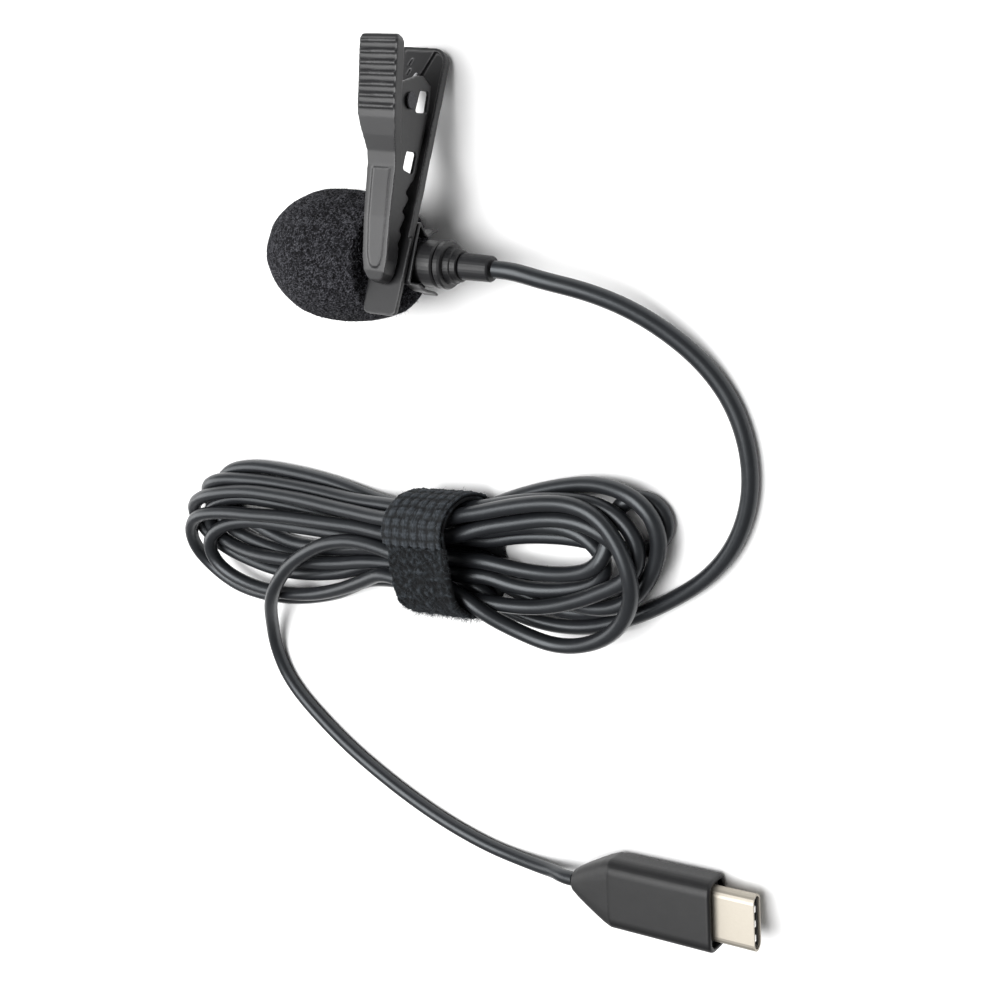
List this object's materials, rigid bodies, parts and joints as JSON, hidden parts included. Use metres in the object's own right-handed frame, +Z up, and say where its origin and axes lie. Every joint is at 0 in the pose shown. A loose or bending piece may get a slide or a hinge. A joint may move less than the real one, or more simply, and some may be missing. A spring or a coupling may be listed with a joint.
{
  "type": "lavalier microphone",
  "caption": "Clip-on lavalier microphone with foam windscreen, sprung clip with toothed jaw, thin lead bundled in a fabric tie, and a USB-C plug.",
  "frame": {"origin": "Middle of the microphone and clip seen from above, on the surface the object lies on.", "axes": "+X along the microphone from the foam towards the lead, +Y towards the clip's thumb end, +Z up from the surface."},
  "size_m": [0.1044, 0.1258, 0.0172],
  "materials": {
    "foam": "open-cell foam",
    "black_paint": "satin black",
    "grille": "mesh",
    "rubber": "matte",
    "can": "satin",
    "steel": "satin",
    "jacket": "smooth satin",
    "tie_fabric": "hook and loop",
    "plastic": "matte black",
    "nickel": "pale nickel",
    "insulator": "black",
    "gold": "gold plated",
    "board": "solder mask"
  },
  "bodies": {
    "microphone": {"mic_barrel": "black_paint", "front_grille": "grille", "capsule_gasket": "rubber", "electret_capsule": "can", "rear_flange_ring": "black_paint", "stepped_collar": "rubber", "strain_boot": "rubber", "holder_clasp": "black_paint", "swivel_rivet": "steel", "mic_lead": "jacket", "cable_hank": "jacket", "plug_lead": "jacket", "velcro_tie": "tie_fabric", "plug_nose": "rubber", "plug_housing": "plastic", "front_bezel": "plastic", "usb_shell": "nickel", "plug_insulator": "insulator", "contact_row_upper": "gold", "contact_row_lower": "gold", "ground_spring": "nickel", "converter_board": "board", "converter_chip": "insulator"},
    "windscreen": {"windscreen_foam": "foam"},
    "rear_lever": {"rear_jaw": "black_paint", "hinge_pin": "steel", "torsion_spring": "steel"},
    "front_lever": {"front_jaw": "black_paint"}
  },
  "joints": [
    {"name": "windscreen_pull", "type": "slide", "parent": "microphone", "child": "windscreen", "axis": [-0.9994, 0, 0.0349], "range_m": [0, 0.02]},
    {"name": "clip_swivel", "type": "hinge", "parent": "microphone", "child": "rear_lever", "pos_m": [0.00422, -0.00819, 0.01094], "axis": [0.0315, 0.4305, 0.902], "range_deg": [-12, 12], "deforming": ["windscreen_foam"]},
    {"name": "jaw_open", "type": "hinge", "parent": "rear_lever", "child": "front_lever", "pos_m": [0.00462, 0.00996, 0.00859], "axis": [-0.9994, 0.0252, 0.0229], "range_deg": [0, 17], "stiffness_Nm_per_rad": 0.05, "springref_deg": -22.92, "deforming": ["torsion_spring"]}
  ]
}
